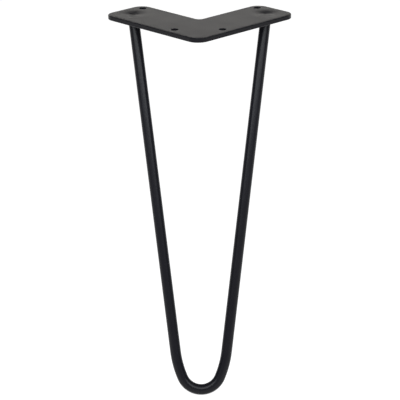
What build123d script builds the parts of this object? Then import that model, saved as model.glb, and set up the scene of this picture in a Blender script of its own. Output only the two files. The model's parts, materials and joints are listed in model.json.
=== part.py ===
from build123d import *
from math import asin, atan, atan2, cos, degrees, hypot, radians, sqrt, tan
import os

# Two-rod hairpin table leg, in millimetres: a boomerang plate screws up under the table top,
# a round rod bent to a narrow V stands on its rounded foot, and a weld joins each rod end to the plate.
# The origin is on the plate's top face, midway between the two front screw holes. +Z is up,
# X = 0 is the mirror plane, and the plate's outer corner and the foot lie towards -Y.

# Mounting plate: lengths run to the sharp corners, before these are rounded; blanking rolls its top face
# over near the edge, and its rims are deburred
arm_length = 150.0
arm_width = 58.0
plate_thickness = 5.0
outer_corner_radius = 14.0
inner_corner_radius = 6.0
arm_end_radius = 13.0
roll_over_width = 2.2
roll_over_depth = 0.3
roll_over_radius = 15.0
rim_chamfer = 0.4

# Screw holes: the front pair is placed from the outer corner and the outer edge of its arm,
# the rear pair from the arm's end and its inner edge
screw_hole_diameter = 8.0
screw_hole_chamfer = 0.3
front_hole_along = 47.0
front_hole_inset = 11.0
rear_hole_end_margin = 12.0
rear_hole_inset = 10.0

# Rod: its ends are placed from the arm's end and outer edge, and its foot from the plate's outer corner;
# the foot's bend is a tight arc with a wider arc on each flank, measured on the centre line
rod_diameter = 12.0
leg_height = 406.0
rod_end_margin = 22.5
rod_inset = 24.5
foot_overhang = 14.0
foot_bend_radius = 22.5
flank_bend_radius = 110.0
flank_bend_angle = 16.0

# Welds, and the sink marks that their heat leaves on the plate's top face: a sink mark is steepest
# at its core's rim and runs out level with the face
weld_leg = 4.5
sink_radius = 19.0
sink_core_radius = 6.0
sink_depth = 1.5

rod_radius = rod_diameter / 2
corner_to_origin = (front_hole_along + front_hole_inset) / sqrt(2)

# The plate is drawn with one arm along each axis of a plane that is turned by 45 degrees
plate_top = Plane(origin=(0, -corner_to_origin, 0), x_dir=(1, 1, 0), z_dir=(0, 0, 1))
plate_underside = Plane.XY.offset(-plate_thickness)
front_hole = (front_hole_along, front_hole_inset)
rear_hole = (arm_length - rear_hole_end_margin, arm_width - rear_hole_inset)
rod_end = (arm_length - rod_end_margin, rod_inset)


def on_both_arms(along, across):
    """A point on the right arm and its mirror image on the left arm, in the plate's drawing."""
    return [(along, across), (across, along)]


with BuildPart() as mounting_plate:
    with BuildSketch(plate_top):
        with BuildLine():
            FilletPolyline(
                (0, 0),
                (arm_length, 0),
                (arm_length, arm_width),
                (arm_width, arm_width),
                (arm_width, arm_length),
                (0, arm_length),
                radius=[
                    outer_corner_radius,
                    arm_end_radius,
                    arm_end_radius,
                    inner_corner_radius,
                    arm_end_radius,
                    arm_end_radius,
                ],
                close=True,
            )
        make_face()
    extrude(amount=-plate_thickness)
    top_face = mounting_plate.faces().sort_by(Axis.Z)[-1]
    chamfer(top_face.edges(), roll_over_width, roll_over_depth, reference=top_face)
    lower_rim, _, rolled_rim, _, top_outline = mounting_plate.edges().group_by(Axis.Z)
    fillet(top_outline, roll_over_radius)
    chamfer(lower_rim + rolled_rim, rim_chamfer)
    with BuildSketch(plate_top):
        with Locations(on_both_arms(*front_hole), on_both_arms(*rear_hole)):
            Circle(screw_hole_diameter / 2)
    extrude(amount=-plate_thickness, mode=Mode.SUBTRACT)
    hole_rims = mounting_plate.edges(Select.LAST).filter_by(GeomType.CIRCLE)
    chamfer(hole_rims, screw_hole_chamfer)
    for along, across in on_both_arms(*rod_end):
        sink_centre = plate_top.from_local_coords((along, across, 0))
        with BuildSketch(Plane(origin=sink_centre, x_dir=(1, 0, 0), z_dir=(0, -1, 0))):
            with BuildLine():
                turn_height = -sink_depth * (1 - sink_core_radius / sink_radius)
                hollow = TangentArc((0, -sink_depth), (sink_core_radius, turn_height), tangent=(1, 0))
                lip = TangentArc(hollow @ 1, (sink_radius, 0), tangent=hollow % 1)
                Polyline(lip @ 1, (0, 0), hollow @ 0)
            make_face()
        revolve(axis=Axis(sink_centre, (0, 0, 1)), mode=Mode.SUBTRACT)

# The bend lies in a plane that leans from the rod's ends down and out to the foot
rod_end_right = plate_top.from_local_coords((*rod_end, -plate_thickness))
foot_centre = Vector(0, -corner_to_origin - foot_overhang, -leg_height + rod_radius)
rod_end_middle = Vector(0, rod_end_right.Y, rod_end_right.Z)
lean = rod_end_middle - foot_centre
bend_plane = Plane(origin=foot_centre, x_dir=(1, 0, 0), z_dir=Vector(1, 0, 0).cross(lean))

# Each straight leg passes the foot's bend centre at this distance, which sets its direction
leg_offset = flank_bend_radius - (flank_bend_radius - foot_bend_radius) * cos(radians(flank_bend_angle))
rise = lean.length - foot_bend_radius
leg_angle = degrees(atan2(rise, rod_end_right.X) + asin(leg_offset / hypot(rise, rod_end_right.X)))
foot_half_angle = leg_angle - flank_bend_angle

with BuildPart() as hairpin_rod:
    with BuildLine(bend_plane) as rod_line:
        foot_bend = CenterArc(
            (0, foot_bend_radius), foot_bend_radius, -90 - foot_half_angle, 2 * foot_half_angle
        )
        flank = JernArc(foot_bend @ 1, foot_bend % 1, flank_bend_radius, flank_bend_angle)
        leg = Line(flank @ 1, rod_end_right)
        mirror([flank, leg], about=Plane.YZ)
    rod_path = rod_line.wire()
    with BuildSketch(Plane(origin=rod_path @ 0, z_dir=rod_path % 0)):
        Circle(rod_radius)
    sweep(path=rod_path)
    extrude(hairpin_rod.faces().filter_by(GeomType.PLANE), amount=rod_radius)
    split(bisect_by=plate_underside, keep=Keep.BOTTOM)

# A weld fills the corner round the leaning rod. Its face is a cone with its tip on the rod's axis: leaning
# about half as far as the rod, it reaches as far along the plate as it drops below it, all the way round
leg_direction = leg % 1
lean_way = Vector(leg_direction.X, leg_direction.Y, 0)
lean_slope = lean_way.length / leg_direction.Z
tip_drop = rod_radius * hypot(1, lean_slope) + weld_leg
weld_tip = rod_end_right - leg_direction * (tip_drop / leg_direction.Z)
wide_side = atan(1 + lean_slope)
narrow_side = atan(1 - lean_slope)
cone_axis = lean_way.normalized() * tan((wide_side - narrow_side) / 2) + Vector(0, 0, 1)
cone_height = 2 * tip_drop
cone_radius = cone_height * tan((wide_side + narrow_side) / 2)

with BuildPart() as right_weld:
    with Locations(Plane(origin=weld_tip, z_dir=cone_axis)):
        Cone(0, cone_radius, cone_height, align=(Align.CENTER, Align.CENTER, Align.MIN))
    split(bisect_by=plate_underside, keep=Keep.BOTTOM)
    add(hairpin_rod.part, mode=Mode.SUBTRACT)

with BuildPart() as left_weld:
    mirror(right_weld.part, about=Plane.YZ)

mounting_plate.part.label = "mounting_plate"
hairpin_rod.part.label = "hairpin_rod"
left_weld.part.label = "left_weld"
right_weld.part.label = "right_weld"

os.makedirs("parts", exist_ok=True)
export_step(mounting_plate.part, "parts/mounting_plate.step")
export_step(hairpin_rod.part, "parts/hairpin_rod.step")
export_step(left_weld.part, "parts/left_weld.step")
export_step(right_weld.part, "parts/right_weld.step")
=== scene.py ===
import json
from math import asin, atan2, cos, hypot, pi, radians, sin

import bpy
import numpy as np
from mathutils import Matrix, Vector


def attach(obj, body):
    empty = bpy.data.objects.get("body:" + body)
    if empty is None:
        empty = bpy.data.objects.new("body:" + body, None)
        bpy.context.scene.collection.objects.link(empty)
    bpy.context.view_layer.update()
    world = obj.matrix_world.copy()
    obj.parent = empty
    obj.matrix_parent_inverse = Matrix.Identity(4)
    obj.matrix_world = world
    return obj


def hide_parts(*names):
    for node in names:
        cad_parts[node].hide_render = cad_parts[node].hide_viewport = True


bl_info = {
    "name": "Hairpin Table Leg",
    "version": (1, 0, 0),
    "blender": (4, 5, 0),
    "location": "View3D > Sidebar > Hairpin Leg",
    "description": "Dresses a two-rod hairpin table leg in satin black powder coat on a plain studio floor",
    "category": "Add Mesh",
}

# The frame is in metres: +Z up, the mirror plane at X = 0, and the foot and the camera towards -Y
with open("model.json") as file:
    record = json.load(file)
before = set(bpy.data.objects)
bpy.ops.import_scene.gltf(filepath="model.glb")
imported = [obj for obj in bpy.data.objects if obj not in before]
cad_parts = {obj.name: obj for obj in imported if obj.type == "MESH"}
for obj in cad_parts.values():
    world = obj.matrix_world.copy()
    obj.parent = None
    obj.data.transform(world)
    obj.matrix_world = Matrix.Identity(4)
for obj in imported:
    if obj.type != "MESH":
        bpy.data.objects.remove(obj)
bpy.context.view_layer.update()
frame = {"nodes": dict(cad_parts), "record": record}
floor_foot = next(mount for mount in frame["record"]["mounts"] if mount["name"] == "floor_foot")
foot_point = Vector(floor_foot["pos_m"])


class RodSizes(bpy.types.PropertyGroup):
    """Sizes of the bent rod, on its centre line."""

    diameter: bpy.props.FloatProperty(
        name="Diameter", description="Diameter of the bar", default=0.012, unit="LENGTH"
    )
    end: bpy.props.FloatVectorProperty(
        name="Right end",
        description="Centre of the right end, where it meets the plate's underside",
        default=(0.072832, 0.066468, -0.005),
        precision=6,
        subtype="XYZ_LENGTH",
    )
    foot_radius: bpy.props.FloatProperty(
        name="Foot radius", description="Radius of the tight arc at the foot", default=0.0225, unit="LENGTH"
    )
    flank_radius: bpy.props.FloatProperty(
        name="Flank radius",
        description="Radius of the wider arc on each side of the foot",
        default=0.110,
        unit="LENGTH",
    )
    flank_angle: bpy.props.FloatProperty(
        name="Flank angle",
        description="Angle that each wider arc turns through",
        default=radians(16.0),
        subtype="ANGLE",
    )
    sides: bpy.props.IntProperty(
        name="Sides", description="Faces round the bar", default=72, min=12
    )
    bend_rings: bpy.props.IntProperty(
        name="Bend rings",
        description="Rings along half the foot's arc, and along each wider arc",
        default=40,
        min=6,
    )
    leg_rings: bpy.props.IntProperty(
        name="Leg rings", description="Rings along each straight leg", default=60, min=2
    )


class WeldSizes(bpy.types.PropertyGroup):
    """Sizes of the weld bead round each rod end."""

    leg: bpy.props.FloatProperty(
        name="Leg",
        description="Reach of the bead along the plate and down the rod",
        default=0.0044,
        precision=4,
        unit="LENGTH",
    )
    crown: bpy.props.FloatProperty(
        name="Crown", description="Swell of the bead's face", default=0.00045, precision=5, unit="LENGTH"
    )
    lap_angle: bpy.props.FloatProperty(
        name="Lap angle",
        description="Place round the rod where the bead's end laps over its start",
        default=3.6,
        subtype="ANGLE",
    )
    lap_swell: bpy.props.FloatProperty(
        name="Lap swell",
        description="Share by which the crown grows at the lap",
        default=0.5,
        subtype="FACTOR",
    )
    ripples: bpy.props.IntProperty(
        name="Ripples", description="Ripples round each bead", default=46, min=0
    )
    ripple_height: bpy.props.FloatProperty(
        name="Ripple height",
        description="Height of the ripples that the weld pool leaves",
        default=0.00011,
        precision=5,
        unit="LENGTH",
    )
    ripple_lag: bpy.props.FloatProperty(
        name="Ripple lag",
        description="Part of a ripple's turn by which its ends trail its middle",
        default=2.6,
        subtype="ANGLE",
    )
    around: bpy.props.IntProperty(
        name="Around", description="Faces round each bead", default=552, min=24
    )
    across: bpy.props.IntProperty(
        name="Across", description="Faces across each bead", default=12, min=2
    )


class CoatLook(bpy.types.PropertyGroup):
    """Colours, gloss and grain of the satin black powder coat."""

    black: bpy.props.FloatVectorProperty(
        name="Black",
        description="Colour of the coat where it lies thin",
        default=(0.0055, 0.0053, 0.0076),
        subtype="COLOR",
        size=3,
    )
    grey: bpy.props.FloatVectorProperty(
        name="Grey",
        description="Colour of the coat's paler clouds and grains",
        default=(0.0102, 0.0100, 0.0132),
        subtype="COLOR",
        size=3,
    )
    specular: bpy.props.FloatProperty(
        name="Specular", description="Strength of the coat's reflections", default=0.16, subtype="FACTOR"
    )
    plate_roughness: bpy.props.FloatProperty(
        name="Plate roughness", description="Mean roughness on the plate", default=0.34, subtype="FACTOR"
    )
    rod_roughness: bpy.props.FloatProperty(
        name="Rod roughness", description="Mean roughness on the rod", default=0.27, subtype="FACTOR"
    )
    weld_roughness: bpy.props.FloatProperty(
        name="Weld roughness", description="Mean roughness on the welds", default=0.33, subtype="FACTOR"
    )
    cloud_scale: bpy.props.FloatProperty(
        name="Cloud scale", description="Soft clouds in the coat, to the metre", default=34.0
    )
    grain_scale: bpy.props.FloatProperty(
        name="Grain scale", description="Fine grains in the coat, to the metre", default=2600.0
    )
    peel_scale: bpy.props.FloatProperty(
        name="Peel scale", description="Dimples of the orange peel, to the metre", default=760.0
    )
    peel_height: bpy.props.FloatProperty(
        name="Peel height",
        description="Height of the orange peel",
        default=0.000007,
        precision=7,
        unit="LENGTH",
    )


class CameraPlace(bpy.types.PropertyGroup):
    """Place and lens of the camera."""

    lens: bpy.props.FloatProperty(
        name="Lens", description="Focal length", default=153.0, unit="CAMERA"
    )
    aim: bpy.props.FloatVectorProperty(
        name="Aim",
        description="Point that the camera turns about",
        default=(0.0, 0.028988, -0.205463),
        precision=6,
        subtype="XYZ_LENGTH",
    )
    distance: bpy.props.FloatProperty(
        name="Distance", description="Distance from the camera to the aim", default=1.909272, unit="LENGTH"
    )
    aside: bpy.props.FloatProperty(
        name="Aside",
        description="Sideways offset of the camera from the aim",
        default=-0.00086,
        precision=5,
        unit="LENGTH",
    )
    pitch: bpy.props.FloatProperty(
        name="Pitch",
        description="Angle that the camera looks down",
        default=radians(20.947),
        subtype="ANGLE",
    )
    yaw: bpy.props.FloatProperty(
        name="Yaw",
        description="Angle of the camera round the leg",
        default=radians(-1.0527),
        subtype="ANGLE",
    )
    roll: bpy.props.FloatProperty(
        name="Roll",
        description="Turn of the camera about its own axis",
        default=radians(0.5652),
        subtype="ANGLE",
    )


class StudioLook(bpy.types.PropertyGroup):
    """Floor and light."""

    floor_pale: bpy.props.FloatProperty(
        name="Floor",
        description="Grey level of the pale floor that lights the leg from below",
        default=0.55,
        subtype="FACTOR",
    )
    floor_shaded: bpy.props.FloatProperty(
        name="Floor shade",
        description="Part of the floor's white that light and shadow make, for the camera and reflections",
        default=0.25,
        subtype="FACTOR",
    )
    floor_glow: bpy.props.FloatProperty(
        name="Floor glow",
        description="Part of the floor's white that it gives by itself, for the camera and reflections",
        default=0.98,
        subtype="FACTOR",
    )
    surround: bpy.props.FloatProperty(
        name="Surround", description="Strength of the even grey surround", default=0.06
    )
    panel: bpy.props.FloatProperty(
        name="Panel", description="Strength of the lit panel behind the leg", default=1.92
    )
    panel_colour: bpy.props.FloatVectorProperty(
        name="Panel colour",
        description="Colour of the lit panel's light",
        default=(1.0, 0.975, 0.93),
        subtype="COLOR",
        size=3,
    )
    panel_low: bpy.props.FloatProperty(
        name="Panel low",
        description="Elevation of the panel's lower edge",
        default=radians(9.0),
        subtype="ANGLE",
    )
    panel_high: bpy.props.FloatProperty(
        name="Panel high",
        description="Elevation of the panel's upper edge",
        default=radians(18.0),
        subtype="ANGLE",
    )
    panel_half_width: bpy.props.FloatProperty(
        name="Panel half width",
        description="Angle from the panel's middle to its end",
        default=radians(55.0),
        subtype="ANGLE",
    )
    front_glow: bpy.props.FloatProperty(
        name="Front glow", description="Strength of the dim wide glow in front of the leg", default=0.35
    )
    front_glow_high: bpy.props.FloatProperty(
        name="Front glow high",
        description="Elevation at which the front glow has half faded",
        default=radians(22.0),
        subtype="ANGLE",
    )
    front_glow_half_width: bpy.props.FloatProperty(
        name="Front glow half width",
        description="Angle from the front glow's middle to where it has half faded",
        default=radians(60.0),
        subtype="ANGLE",
    )
    lamp_colour: bpy.props.FloatVectorProperty(
        name="Lamp colour",
        description="Colour of both lamps' light",
        default=(0.93, 0.97, 1.0),
        subtype="COLOR",
        size=3,
    )
    top_place: bpy.props.FloatVectorProperty(
        name="Top lamp place",
        description="Middle of the soft lamp above the front",
        default=(0.0, -0.7, 0.7),
        subtype="XYZ_LENGTH",
    )
    top_size: bpy.props.FloatVectorProperty(
        name="Top lamp size",
        description="Width and height of the lamp above the front",
        default=(2.4, 0.7),
        size=2,
        unit="LENGTH",
    )
    top_power: bpy.props.FloatProperty(
        name="Top lamp power", description="Power of the lamp above the front", default=16.0, unit="POWER"
    )
    front_place: bpy.props.FloatVectorProperty(
        name="Front lamp place",
        description="Middle of the wide soft lamp in front",
        default=(0.0, -0.75, 0.27),
        subtype="XYZ_LENGTH",
    )
    front_size: bpy.props.FloatVectorProperty(
        name="Front lamp size",
        description="Width and height of the lamp in front",
        default=(1.8, 0.24),
        size=2,
        unit="LENGTH",
    )
    front_power: bpy.props.FloatProperty(
        name="Front lamp power", description="Power of the lamp in front", default=6.1, unit="POWER"
    )


class LegSettings(bpy.types.PropertyGroup):
    """All the settings of the leg."""

    rod: bpy.props.PointerProperty(type=RodSizes)
    weld: bpy.props.PointerProperty(type=WeldSizes)
    coat: bpy.props.PointerProperty(type=CoatLook)
    camera: bpy.props.PointerProperty(type=CameraPlace)
    studio: bpy.props.PointerProperty(type=StudioLook)


class Wire:
    """An output socket of a shader tree, so that sums on values read as Python and add Math nodes."""

    def __init__(self, tree, socket=None):
        self.tree = tree
        self.socket = socket

    def node(self, kind, settings=None, sockets=None, output=0):
        """Adds a node, sets its settings, then its sockets' values or links, and gives one of its outputs."""
        made = self.tree.nodes.new(kind)
        for name, value in (settings or {}).items():
            setattr(made, name, value)
        for name, value in (sockets or {}).items():
            if isinstance(value, Wire):
                self.tree.links.new(value.socket, made.inputs[name])
            else:
                made.inputs[name].default_value = value
        return Wire(self.tree, made.outputs[output])

    def maths(self, operation, first, second):
        """The result of a Math node on two values."""
        return self.node("ShaderNodeMath", {"operation": operation}, {0: first, 1: second})

    def step(self, start, end):
        """A smooth step on this value, from 0 at the start to 1 at the end."""
        sockets = {"Value": self, "From Min": start, "From Max": end}
        return self.node("ShaderNodeMapRange", {"interpolation_type": "SMOOTHSTEP"}, sockets)

    def mix(self, first, second):
        """A colour that goes from the first to the second as this value goes from 0 to 1."""
        first_colour, second_colour, mixed_colour = 6, 7, 2
        sockets = {0: self, first_colour: (*first, 1.0), second_colour: (*second, 1.0)}
        return self.node("ShaderNodeMix", {"data_type": "RGBA"}, sockets, mixed_colour)

    def __add__(self, other):
        return self.maths("ADD", self, other)

    def __radd__(self, other):
        return self.maths("ADD", other, self)

    def __sub__(self, other):
        return self.maths("SUBTRACT", self, other)

    def __rsub__(self, other):
        return self.maths("SUBTRACT", other, self)

    def __mul__(self, other):
        return self.maths("MULTIPLY", self, other)

    def __rmul__(self, other):
        return self.maths("MULTIPLY", other, self)


def new_tree(owner, ending):
    """An empty node tree on a material or world, its first wire and its output node of the type named."""
    owner.use_nodes = True
    owner.node_tree.nodes.clear()
    return Wire(owner.node_tree), owner.node_tree.nodes.new(ending)


def powder_coat(name, look, mean_roughness):
    """Satin black powder coat: soft clouds and fine grains in colour and gloss, on a shallow orange peel."""
    cloud_share, grain_share = 0.55, 0.45
    cloud_gloss, grain_gloss = 0.08, 0.04
    cloud_detail, grain_detail, peel_detail = 3.0, 1.0, 1.5
    material = bpy.data.materials.new(name)
    wire, ending = new_tree(material, "ShaderNodeOutputMaterial")
    place = wire.node("ShaderNodeTexCoord", output="Object")

    def noise(scale, detail):
        return wire.node("ShaderNodeTexNoise", None, {"Vector": place, "Scale": scale, "Detail": detail})

    cloud = noise(look.cloud_scale, cloud_detail)
    grain = noise(look.grain_scale, grain_detail)
    peel = noise(look.peel_scale, peel_detail)
    paler = cloud_share * cloud + grain_share * grain
    smoothest = mean_roughness - (cloud_gloss + grain_gloss) / 2
    roughness = smoothest + cloud_gloss * cloud + grain_gloss * grain
    bump = wire.node(
        "ShaderNodeBump", None, {"Strength": 1.0, "Distance": look.peel_height, "Height": peel}
    )
    coat = wire.node(
        "ShaderNodeBsdfPrincipled",
        None,
        {
            "Base Color": paler.mix(look.black, look.grey),
            "Roughness": roughness,
            "Normal": bump,
            "IOR": 1.5,
            "Specular IOR Level": look.specular,
        },
    )
    wire.tree.links.new(coat.socket, ending.inputs["Surface"])
    return material


def grid_faces(rows, columns, close_rows):
    """Quads of a grid of rows by columns points: columns close on themselves, and rows too if asked."""
    row = np.arange(rows if close_rows else rows - 1)[:, None]
    column = np.arange(columns)[None, :]
    after_row = (row + 1) % rows
    after_column = (column + 1) % columns
    corners = [
        row * columns + column,
        row * columns + after_column,
        after_row * columns + after_column,
        after_row * columns + column,
    ]
    shape = (row.size, columns)
    return np.stack([np.broadcast_to(corner, shape) for corner in corners], axis=-1).reshape(-1, 4)


def add_piece(name, points, faces, node, material, sharp_angle):
    """Makes a mesh piece from arrays, in place of a CAD node, riding on the leg's one body."""
    mesh = bpy.data.meshes.new(name)
    mesh.from_pydata(points.reshape(-1, 3), [], faces)
    mesh.polygons.foreach_set("use_smooth", np.ones(len(mesh.polygons), bool))
    mesh.set_sharp_from_angle(angle=sharp_angle)
    mesh.materials.append(material)
    mesh.update()
    piece = bpy.data.objects.new(name, mesh)
    bpy.context.scene.collection.objects.link(piece)
    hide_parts(node)
    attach(piece, "root")


def bend_plane(rod):
    """Foot of the rod's centre line, its plane's sideways, upward and normal directions, and its height.

    The upward direction runs from the foot to the point midway between the rod's two ends.
    """
    foot = np.array(foot_point) + (0.0, 0.0, rod.diameter / 2)
    side = np.array((1.0, 0.0, 0.0))
    up = np.array((0.0, rod.end[1], rod.end[2])) - foot
    height = np.linalg.norm(up)
    up = up / height
    return foot, side, up, np.cross(side, up), height


def leg_angles(rod):
    """Half angle of the foot's arc, and the angle of a straight leg to the bend plane's sideways line.

    The flank's turn sets how far the leg's line passes the centre of the foot's arc. Seen from that centre,
    the leg's angle is the angle up to the rod's end, plus the one whose sine is that offset over the distance
    to the end.
    """
    *_, height = bend_plane(rod)
    offset = rod.flank_radius - (rod.flank_radius - rod.foot_radius) * cos(rod.flank_angle)
    rise = height - rod.foot_radius
    angle = atan2(rise, rod.end[0]) + asin(offset / hypot(rise, rod.end[0]))
    return angle - rod.flank_angle, angle


def rod_line(rod):
    """Centre line of the rod from its left end to its right, in the bend plane, and its heading.

    The distance from the foot's lowest point is cut into a part on the foot's arc, a part on the flank's
    wider arc and a part on the straight leg. Each arc adds its radius times the change in the sine and cosine
    of its angle, and the leg adds its length along its own direction. The left half mirrors the right.
    """
    half, angle = leg_angles(rod)
    foot_end = rod.foot_radius * half
    flank_end = foot_end + rod.flank_radius * rod.flank_angle
    arc_side = rod.foot_radius * sin(half) + rod.flank_radius * (sin(angle) - sin(half))
    leg_end = flank_end + (rod.end[0] - arc_side) / cos(angle)
    steps = [
        np.linspace(0.0, foot_end, rod.bend_rings, endpoint=False),
        np.linspace(foot_end, flank_end, rod.bend_rings, endpoint=False),
        np.linspace(flank_end, leg_end, rod.leg_rings),
    ]
    run = np.concatenate(steps)
    run = np.concatenate([-run[:0:-1], run])
    away = np.abs(run)
    turn = np.clip(away / rod.foot_radius, 0.0, half)
    swing = half + np.clip((away - foot_end) / rod.flank_radius, 0.0, rod.flank_angle)
    straight = np.clip(away - flank_end, 0.0, None)
    across = (
        rod.foot_radius * np.sin(turn)
        + rod.flank_radius * (np.sin(swing) - sin(half))
        + straight * cos(angle)
    )
    above = (
        rod.foot_radius * (1 - np.cos(turn))
        + rod.flank_radius * (cos(half) - np.cos(swing))
        + straight * sin(angle)
    )
    heading = np.where(away < foot_end, turn, swing) * np.sign(run)
    return np.sign(run) * across, above, heading


def rod_surface(rod):
    """Points and faces of the bent rod.

    A circle is carried along the centre line: each point adds the bar's radius times the cosine of its
    angle along the bend's outward direction and the sine against the bend plane's normal. The points of the
    two end rings then slide along the rod to the plate's underside, which cuts both ends level.
    """
    foot, side, up, normal, _ = bend_plane(rod)
    across, above, heading = rod_line(rod)
    centre = foot + across[:, None] * side + above[:, None] * up
    tangent = np.cos(heading)[:, None] * side + np.sin(heading)[:, None] * up
    outward = np.sin(heading)[:, None] * side - np.cos(heading)[:, None] * up
    theta = np.linspace(0.0, 2 * pi, rod.sides, endpoint=False)[None, :, None]
    spoke = np.cos(theta) * outward[:, None, :] - np.sin(theta) * normal
    points = centre[:, None, :] + rod.diameter / 2 * spoke
    ends = [0, -1]
    slide = (rod.end[2] - points[ends, :, 2]) / tangent[ends, 2, None]
    points[ends] += slide[:, :, None] * tangent[ends, None, :]
    rings = len(points)
    first_ring = np.arange(rod.sides)
    last_ring = first_ring + (rings - 1) * rod.sides
    caps = [first_ring[::-1].tolist(), last_ring.tolist()]
    return points, grid_faces(rings, rod.sides, close_rows=False).tolist() + caps


def wander(theta, waves):
    """A sum of sines round the joint, each given by its height, its count and its phase."""
    return sum(height * np.sin(count * theta + phase) for height, count, phase in waves)


def weld_bead(rod, weld):
    """Points and faces of the right bead.

    Round the joint, the section's two corners follow ellipses: one on the plate, the bead's leg beyond the
    rod, and one on the rod, the same leg below the plate and moved along with the leaning rod. Both wander a
    little. The face between them is a straight line, with a parabola added for the crown, which grows in a
    bell curve at the lap, and with ripples that are a sine of the angle round the joint, held back along the
    face's edges so that each ripple is a chevron. The section closes inside the rod.
    """
    lap_width, depth_in_rod = 0.16, 0.0004
    plate_waves = (0.05, 3, 0.4), (0.035, 7, 1.3)
    rod_waves = (0.05, 4, 2.0), (0.03, 9, 0.7)
    slant = sin(pi / 4)
    _, side, up, *_ = bend_plane(rod)
    _, angle = leg_angles(rod)
    direction = cos(angle) * side + sin(angle) * up
    level = direction * (1.0, 1.0, 0.0)
    slope = np.linalg.norm(level) / direction[2]
    level = level / np.linalg.norm(level)
    cross = np.cross((0.0, 0.0, 1.0), level)
    radius = rod.diameter / 2
    theta = np.linspace(0.0, 2 * pi, weld.around, endpoint=False)[:, None]
    face = np.linspace(0.0, 1.0, weld.across + 1)[None, :]
    reach = weld.leg * (1 + wander(theta, plate_waves))
    drop = weld.leg * (1 + wander(theta, rod_waves))
    hump = 4 * face * (1 - face)
    lap = np.exp(-(((theta - weld.lap_angle) / lap_width) ** 2))
    phase = weld.ripples * theta - weld.ripple_lag * (2 * face - 1) ** 2
    swell = weld.crown * hump * (1 + weld.lap_swell * lap)
    swell = swell + weld.ripple_height * np.sqrt(hump) * np.sin(phase)
    out = reach * (1 - face) + swell * slant
    down = drop * face + swell * slant
    inner = np.full_like(theta, -depth_in_rod)
    out = np.concatenate([out, inner, inner], axis=1)
    down = np.concatenate([down, drop, np.zeros_like(theta)], axis=1)
    along_level = (radius * hypot(1.0, slope) + out) * np.cos(theta) - down * slope
    along_cross = (radius + out) * np.sin(theta)
    points = (
        np.array(rod.end)
        + along_level[..., None] * level
        + along_cross[..., None] * cross
        + down[..., None] * np.array((0.0, 0.0, -1.0))
    )
    return points, grid_faces(*points.shape[:2], close_rows=True)


class LEG_OT_coat_plate(bpy.types.Operator):
    """Coats the mounting plate"""

    bl_idname = "hairpin_leg.coat_plate"
    bl_label = "Coat the mounting plate"

    def execute(self, context):
        coat = context.scene.hairpin_leg.coat
        slots = frame["nodes"]["mounting_plate"].data.materials
        slots.clear()
        slots.append(powder_coat("plate_coat", coat, coat.plate_roughness))
        return {"FINISHED"}


class LEG_OT_bend_rod(bpy.types.Operator):
    """Bends the rod and cuts its ends level under the plate"""

    bl_idname = "hairpin_leg.bend_rod"
    bl_label = "Bend the rod"

    def execute(self, context):
        sharp_angle = radians(50.0)
        settings = context.scene.hairpin_leg
        material = powder_coat("rod_coat", settings.coat, settings.coat.rod_roughness)
        points, faces = rod_surface(settings.rod)
        add_piece("bent_rod", points, faces, "hairpin_rod", material, sharp_angle)
        return {"FINISHED"}


class LEG_OT_lay_welds(bpy.types.Operator):
    """Lays a rippled bead round each rod end"""

    bl_idname = "hairpin_leg.lay_welds"
    bl_label = "Lay the welds"

    def execute(self, context):
        sharp_angle = radians(60.0)
        settings = context.scene.hairpin_leg
        material = powder_coat("weld_coat", settings.coat, settings.coat.weld_roughness)
        points, faces = weld_bead(settings.rod, settings.weld)
        mirrored = points * (-1.0, 1.0, 1.0)
        add_piece("right_bead", points, faces, "right_weld", material, sharp_angle)
        add_piece("left_bead", mirrored, faces[:, ::-1], "left_weld", material, sharp_angle)
        return {"FINISHED"}


def lay_floor(studio):
    """A wide level floor under the foot: pale for the light, white for the camera and reflections.

    From below it is see-through, so that the leg shows.
    """
    half_width = 14.0
    corner = half_width * np.array([(-1.0, -1.0), (1.0, -1.0), (1.0, 1.0), (-1.0, 1.0)])
    points = np.column_stack([corner, np.full(4, foot_point.z)])
    mesh = bpy.data.meshes.new("floor")
    mesh.from_pydata(points, [], [(0, 1, 2, 3)])
    material = bpy.data.materials.new("pale_floor")
    wire, ending = new_tree(material, "ShaderNodeOutputMaterial")
    camera = wire.node("ShaderNodeLightPath", output="Is Camera Ray")
    glossy = wire.node("ShaderNodeLightPath", output="Is Glossy Ray")
    through = wire.node("ShaderNodeLightPath", output="Is Transmission Ray")
    seen = camera + glossy + through
    shade = studio.floor_pale + (studio.floor_shaded - studio.floor_pale) * seen
    paint = wire.node("ShaderNodeBsdfDiffuse", None, {"Color": shade})
    white = wire.node("ShaderNodeEmission", None, {"Strength": studio.floor_glow * seen})
    upper = wire.node("ShaderNodeAddShader", None, {0: paint, 1: white})
    under = wire.node("ShaderNodeBsdfTransparent")
    back = wire.node("ShaderNodeNewGeometry", output="Backfacing")
    surface = wire.node("ShaderNodeMixShader", None, {0: back, 1: upper, 2: under})
    wire.tree.links.new(surface.socket, ending.inputs["Surface"])
    mesh.materials.append(material)
    floor = bpy.data.objects.new("floor", mesh)
    bpy.context.scene.collection.objects.link(floor)


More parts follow.
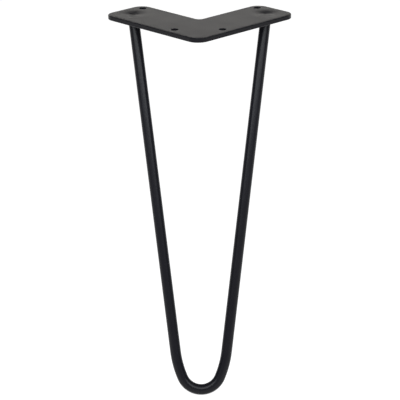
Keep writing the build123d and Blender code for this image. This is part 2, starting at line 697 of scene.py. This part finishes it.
def light_world(studio):
    """World light: a dim even surround, a lit panel low behind and a dim wide glow low in front.

    A direction's height is the sine of its elevation, and near the horizon its depth is the cosine of its
    angle from straight behind, so each part's edges are smooth steps on these two.
    """
    panel_edge, panel_end = radians(1.5), radians(8.6)
    glow_edge, glow_end = radians(9.7), radians(17.2)
    behind, in_front = 1.0, -1.0
    white = (1.0, 1.0, 1.0)
    world = bpy.data.worlds.new("studio")
    bpy.context.scene.world = world
    wire, ending = new_tree(world, "ShaderNodeOutputWorld")
    direction = wire.node("ShaderNodeTexCoord", output="Generated")
    height = wire.node("ShaderNodeSeparateXYZ", None, {0: direction}, output="Z")
    depth = wire.node("ShaderNodeSeparateXYZ", None, {0: direction}, output="Y")

    def above(elevation, softness):
        return height.step(sin(elevation - softness), sin(elevation + softness))

    def within(half_width, softness, way):
        return (way * depth).step(cos(half_width + softness), cos(half_width - softness))

    panel = above(studio.panel_low, panel_edge) - above(studio.panel_high, panel_edge)
    panel = panel * within(studio.panel_half_width, panel_end, behind)
    front = 1 - above(studio.front_glow_high, glow_edge)
    front = front * within(studio.front_glow_half_width, glow_end, in_front)
    strength = studio.surround + (studio.panel - studio.surround) * panel
    strength = strength + studio.front_glow * front
    colour = panel.mix(white, studio.panel_colour)
    light = wire.node("ShaderNodeBackground", None, {"Color": colour, "Strength": strength})
    wire.tree.links.new(light.socket, ending.inputs["Surface"])


def add_lamp(name, place, size, power, colour):
    """A rectangular lamp that faces the frame's origin and doesn't show to the camera."""
    lamp = bpy.data.lights.new(name, "AREA")
    lamp.shape = "RECTANGLE"
    lamp.size, lamp.size_y = size
    lamp.energy = power
    lamp.color = colour
    holder = bpy.data.objects.new(name, lamp)
    holder.location = place
    holder.rotation_euler = (-Vector(place)).to_track_quat("-Z", "Y").to_euler()
    holder.visible_camera = False
    bpy.context.scene.collection.objects.link(holder)
    return holder


def place_lamps(studio):
    """A soft lamp above the front for all, and a wide one lower in front that the plate doesn't mirror."""
    add_lamp("top_light", studio.top_place, studio.top_size, studio.top_power, studio.lamp_colour)
    front = add_lamp(
        "front_light", studio.front_place, studio.front_size, studio.front_power, studio.lamp_colour
    )
    lit = bpy.data.collections.new("front_lit")
    for name in ("bent_rod", "right_bead", "left_bead", "floor"):
        lit.objects.link(bpy.data.objects[name])
    front.light_linking.receiver_collection = lit


def place_camera(place):
    """Turns the camera by its yaw, pitch and roll about the aim, and sets it back by its distance."""
    right = Vector((1.0, 0.0, 0.0))
    upward = Vector((0.0, sin(place.pitch), cos(place.pitch)))
    backward = Vector((0.0, -cos(place.pitch), sin(place.pitch)))
    yaw = Matrix.Rotation(place.yaw, 3, "Z")
    roll = Matrix.Rotation(place.roll, 3, "Z")
    turn = (roll @ Matrix((right, upward, backward)) @ yaw).transposed()
    position = Vector(place.aim) + turn @ Vector((place.aside, 0.0, place.distance))
    camera = bpy.data.objects.new("camera", bpy.data.cameras.new("camera"))
    camera.data.lens = place.lens
    camera.data.sensor_width = 36.0
    camera.matrix_world = Matrix.Translation(position) @ turn.to_4x4()
    bpy.context.scene.collection.objects.link(camera)
    bpy.context.scene.camera = camera


class LEG_OT_set_stage(bpy.types.Operator):
    """Sets the floor, the light and the camera"""

    bl_idname = "hairpin_leg.set_stage"
    bl_label = "Set the stage"

    def execute(self, context):
        settings = context.scene.hairpin_leg
        lay_floor(settings.studio)
        light_world(settings.studio)
        place_lamps(settings.studio)
        place_camera(settings.camera)
        context.scene.view_settings.view_transform = "Standard"
        return {"FINISHED"}


class LEG_PT_panel(bpy.types.Panel):
    """Lists the leg's operators and settings"""

    bl_idname = "LEG_PT_panel"
    bl_label = "Hairpin Leg"
    bl_space_type = "VIEW_3D"
    bl_region_type = "UI"
    bl_category = "Hairpin Leg"

    def draw(self, context):
        for operator in operators:
            self.layout.operator(operator.bl_idname)
        for name in ("rod", "weld", "coat", "camera", "studio"):
            group = getattr(context.scene.hairpin_leg, name)
            box = self.layout.box()
            for key in group.bl_rna.properties.keys():
                if key not in ("rna_type", "name"):
                    box.prop(group, key)


operators = (LEG_OT_coat_plate, LEG_OT_bend_rod, LEG_OT_lay_welds, LEG_OT_set_stage)
classes = (RodSizes, WeldSizes, CoatLook, CameraPlace, StudioLook, LegSettings, *operators, LEG_PT_panel)


def register():
    for item in classes:
        bpy.utils.register_class(item)
    bpy.types.Scene.hairpin_leg = bpy.props.PointerProperty(type=LegSettings)


def unregister():
    del bpy.types.Scene.hairpin_leg
    for item in reversed(classes):
        bpy.utils.unregister_class(item)


def main():
    register()
    bpy.ops.hairpin_leg.coat_plate()
    bpy.ops.hairpin_leg.bend_rod()
    bpy.ops.hairpin_leg.lay_welds()
    bpy.ops.hairpin_leg.set_stage()
    bpy.context.view_layer.update()


if __name__ == "__main__":
    main()
